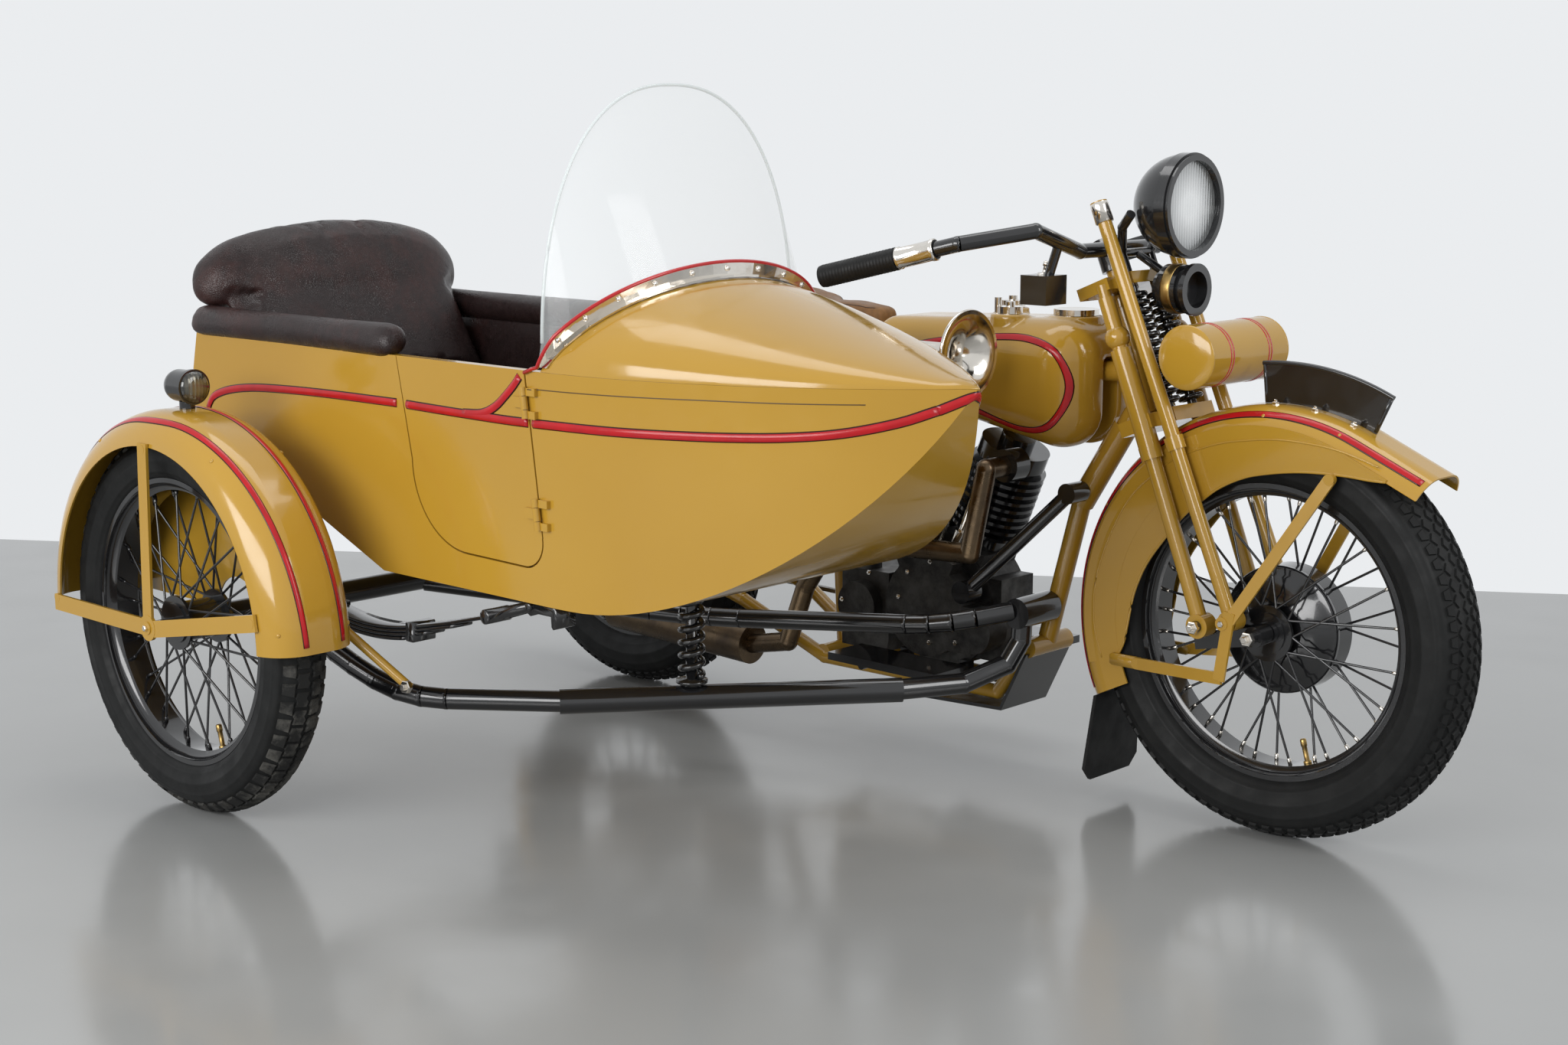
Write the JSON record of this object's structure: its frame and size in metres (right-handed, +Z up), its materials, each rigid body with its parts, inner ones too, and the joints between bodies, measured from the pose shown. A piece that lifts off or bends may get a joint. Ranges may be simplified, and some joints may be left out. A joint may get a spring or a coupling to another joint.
{
  "type": "sidecar motorcycle",
  "caption": "Vintage V-twin motorcycle with a boat-nosed passenger sidecar, wire wheels, spring fork, windscreen and padded leather seat; steers, rolls and its car door opens.",
  "frame": {"origin": "centre of the bounding box at ground level", "axes": "+X forward, +Y to the machine's left, +Z up"},
  "size_m": [2.2834, 1.6536, 1.213],
  "materials": {
    "tan_paint": "gloss olive-mustard enamel",
    "black_enamel": "gloss black enamel",
    "nickel": "polished nickel",
    "engine_metal": "dark cast aluminium",
    "steel": "oiled steel",
    "brass": "aged brass",
    "seat_leather": "dark oxblood leather",
    "saddle_leather": "worn tan leather",
    "rubber": "matt black rubber",
    "tyre": "black tyre rubber",
    "glass": "clear"
  },
  "bodies": {
    "chassis": {"frame": "tan_paint", "crankcase": "engine_metal", "cylinders": "black_enamel", "pushrod_tubes": "nickel", "timing_cover": "engine_metal", "carburettor": "brass", "gearbox": "engine_metal", "drive_chain": "steel", "exhaust": "engine_metal", "footboards": "black_enamel", "fuel_tank": "tan_paint", "tank_caps": "nickel", "saddle": "saddle_leather", "saddle_mount": "black_enamel", "rear_fender": "tan_paint", "rear_plate": "black_enamel", "trumpet_horn": "nickel", "horn_bulb": "rubber", "sidecar_frame": "black_enamel", "sidecar_springs": "black_enamel", "sidecar_hull": "tan_paint", "sidecar_cowl": "tan_paint", "cowl_strip": "nickel", "windscreen": "glass", "seat_cushion": "seat_leather", "seat_back": "seat_leather", "arm_rolls": "seat_leather", "sidecar_fender": "tan_paint", "side_lamp": "black_enamel"},
    "steering": {"fork": "tan_paint", "rockers": "black_enamel", "handlebar": "black_enamel", "grips": "rubber", "headlamp": "black_enamel", "headlamp_lens": "glass", "klaxon": "black_enamel", "tool_roll": "tan_paint", "front_fender": "tan_paint", "mudflap": "rubber", "front_plate": "black_enamel"},
    "front_wheel_body": {"front_tyre": "tyre", "front_wheel": "black_enamel"},
    "rear_wheel_body": {"rear_tyre": "tyre", "rear_wheel": "black_enamel"},
    "side_wheel_body": {"side_tyre": "tyre", "side_wheel": "black_enamel"},
    "door": {"sidecar_door": "tan_paint"}
  },
  "joints": [
    {"name": "steering", "type": "hinge", "parent": "chassis", "child": "steering", "pos_m": [0.51325, 0.404, 0.77], "axis": [-0.3827, 0, 0.9239], "range_deg": [-30, 30]},
    {"name": "front_wheel_spin", "type": "hinge", "parent": "steering", "child": "front_wheel_body", "pos_m": [0.79825, 0.404, 0.3435], "axis": [0, 1, 0], "continuous": true},
    {"name": "rear_wheel_spin", "type": "hinge", "parent": "chassis", "child": "rear_wheel_body", "pos_m": [-0.72575, 0.404, 0.3435], "axis": [0, 1, 0], "continuous": true},
    {"name": "side_wheel_spin", "type": "hinge", "parent": "chassis", "child": "side_wheel_body", "pos_m": [-0.60175, -0.73, 0.33], "axis": [0, 1, 0], "continuous": true},
    {"name": "door_hinge", "type": "hinge", "parent": "chassis", "child": "door", "pos_m": [0.06858, -0.568, 0.74], "axis": [-0.1409, 0, 0.99], "range_deg": [0, 75]}
  ]
}
